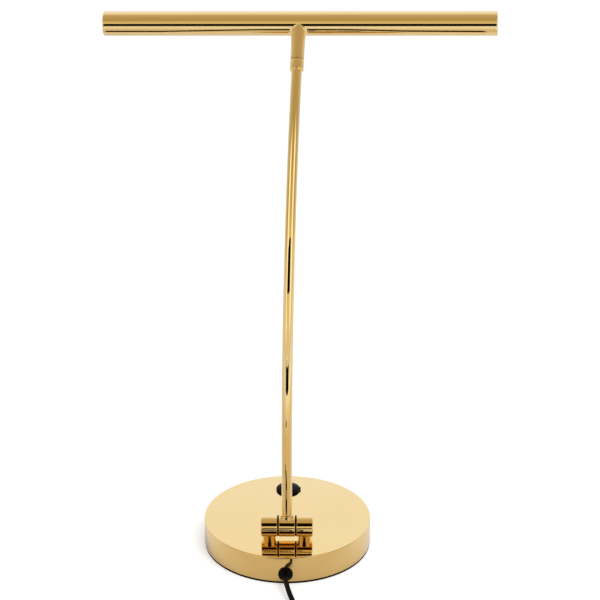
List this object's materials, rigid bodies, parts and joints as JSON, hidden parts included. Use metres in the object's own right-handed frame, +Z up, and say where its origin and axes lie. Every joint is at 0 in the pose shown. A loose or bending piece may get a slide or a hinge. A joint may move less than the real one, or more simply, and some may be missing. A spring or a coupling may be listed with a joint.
{
  "type": "piano lamp",
  "caption": "Brass piano lamp: weighted round base, knuckle hinge, long curved rod and a slim round LED shade on a swivel neck, with a rotary dimmer on the base.",
  "frame": {"origin": "centre of the foot pad underside, on the surface the lamp stands on", "axes": "+Z up; +Y to the front, the side the rod leans to and the dimmer is on; the cord leaves towards -Y; the hinge axis lies along X"},
  "size_m": [0.4654, 0.4906, 0.6256],
  "materials": {
    "brass": "polished and lacquered",
    "black_plastic": "smooth black",
    "pad": "matt black foam rubber",
    "steel": "zinc plated",
    "iron": "rough cast",
    "aluminium": "mill finish",
    "board": "white solder mask",
    "chip": "yellow phosphor",
    "lens": "milky, satin",
    "driver": "moulded",
    "washer": "friction plastic",
    "nickel": "nickel plated",
    "cord": "smooth black jacket"
  },
  "bodies": {
    "base": {"foot_pad": "pad", "bottom_plate": "steel", "base_shell": "brass", "ballast": "iron", "base_pillars": "steel", "base_screws": "steel", "led_driver": "driver", "dimmer_module": "driver", "dimmer_nut": "nickel", "cord_inlet": "black_plastic", "base_leads": "cord", "hinge_post_left": "brass", "hinge_post_right": "brass", "post_nuts": "steel", "hinge_barrel_left": "brass", "hinge_barrel_right": "brass", "hinge_pivot": "steel", "hinge_ring_nuts": "steel", "hinge_end_caps": "brass", "hinge_washers": "washer", "power_cord": "cord", "cord_coil": "cord", "cord_tail": "cord", "cord_tie": "black_plastic", "plug_body": "black_plastic", "plug_blades": "nickel"},
    "arm": {"hinge_knuckle": "brass", "rod_ferrule": "brass", "arm_rod": "brass", "arm_lead": "cord", "swivel_collar": "brass", "collar_grub_screw": "steel", "swivel_stem": "steel", "swivel_washer": "washer"},
    "head": {"neck": "brass", "neck_washer": "steel", "shade_nipple": "steel", "saddle_washer": "steel", "shade_nut": "steel", "shade_tube": "brass", "heat_sink": "aluminium", "led_board": "board", "led_chips": "chip", "diffuser": "lens", "end_cap_left": "brass", "end_cap_right": "brass"},
    "dimmer": {"dimmer_knob": "black_plastic", "dimmer_shaft": "nickel"}
  },
  "joints": [
    {"name": "arm_tilt", "type": "hinge", "parent": "base", "child": "arm", "pos_m": [0, -0.0557, 0.05325], "axis": [-1, 0, 0], "range_deg": [-30, 60]},
    {"name": "head_swivel", "type": "hinge", "parent": "arm", "child": "head", "pos_m": [0.0109, 0.12995, 0.57071], "axis": [0.0411, 0.6997, 0.7133], "range_deg": [-165, 165]},
    {"name": "dimmer_turn", "type": "hinge", "parent": "base", "child": "dimmer", "pos_m": [0, 0.0645, 0.035], "axis": [0, 0, -1], "range_deg": [-60, 240]}
  ]
}
